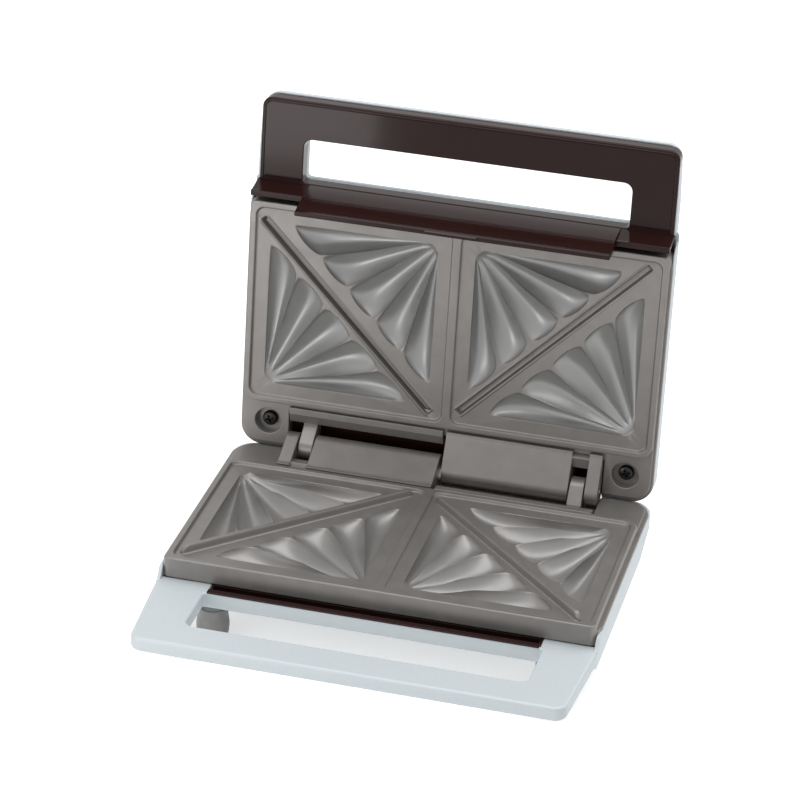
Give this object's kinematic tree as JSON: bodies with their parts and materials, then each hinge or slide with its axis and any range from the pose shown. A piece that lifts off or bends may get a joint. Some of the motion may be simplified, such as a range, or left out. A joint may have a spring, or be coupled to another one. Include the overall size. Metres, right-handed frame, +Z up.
{
  "type": "sandwich toaster",
  "caption": "Hinged sandwich toaster with two cast scallop-pocket plates, silver casings, brown linings and looped handles, shown open.",
  "frame": {"origin": "on the surface that the feet stand on, below the middle of the open toaster's width and depth", "axes": "+X to the user's right, +Y from the user towards the hinge, +Z up; the lid stands open as stored"},
  "size_m": [0.245, 0.2614, 0.259],
  "materials": {
    "silver_paint": "silver metallic paint on moulded plastic, satin",
    "brown_plastic": "heat-proof moulded plastic, dark brown, glossy",
    "coated_casting": "die-cast aluminium with a warm grey non-stick coating, satin",
    "sheathed_steel": "steel-sheathed tubular heater, heat-tinted",
    "plated_steel": "zinc plated",
    "bright_sheet": "bright rolled sheet",
    "ceramic_white": "glazed ceramic and heat-proof moulding",
    "foot_plastic": "moulded, warm grey",
    "foot_rubber": "soft, matt",
    "light_plastic": "moulded, pale grey",
    "pin_steel": "darkened steel",
    "black_steel": "blackened screw",
    "lamp_glass": "small neon lamp",
    "red_lens": "clear red moulding",
    "green_lens": "clear green moulding"
  },
  "bodies": {
    "base": {"base_shell": "silver_paint", "base_liner": "brown_plastic", "lower_plate": "coated_casting", "lower_element": "sheathed_steel", "lower_element_clips": "plated_steel", "lower_clip_screws": "plated_steel", "lower_plate_screws": "plated_steel", "base_reflector": "bright_sheet", "thermostat": "ceramic_white", "thermostat_bracket": "plated_steel", "thermostat_screws": "plated_steel", "terminal_block": "ceramic_white", "base_screws": "plated_steel", "foot_front_left": "foot_plastic", "foot_front_right": "foot_plastic", "foot_rear_left": "foot_plastic", "foot_rear_right": "foot_plastic", "foot_pads": "foot_rubber", "foot_discs": "light_plastic", "hinge_pin_left": "pin_steel"},
    "lid": {"hinge_pin_right": "pin_steel", "upper_plate": "coated_casting", "upper_plate_screws": "black_steel", "upper_front_screws": "plated_steel", "upper_element": "sheathed_steel", "upper_element_clips": "plated_steel", "upper_clip_screws": "plated_steel", "lid_reflector": "bright_sheet", "thermal_fuse": "ceramic_white", "fuse_clip": "plated_steel", "lid_liner": "brown_plastic", "lid_shell": "silver_paint", "lid_screws": "plated_steel", "power_lamp": "lamp_glass", "ready_lamp": "lamp_glass", "power_lens": "red_lens", "ready_lens": "green_lens"}
  },
  "joints": [
    {"name": "lid_hinge", "type": "hinge", "parent": "base", "child": "lid", "pos_m": [0, 0.08194, 0.0542], "axis": [1, 0, 0], "range_deg": [0, 94]}
  ]
}
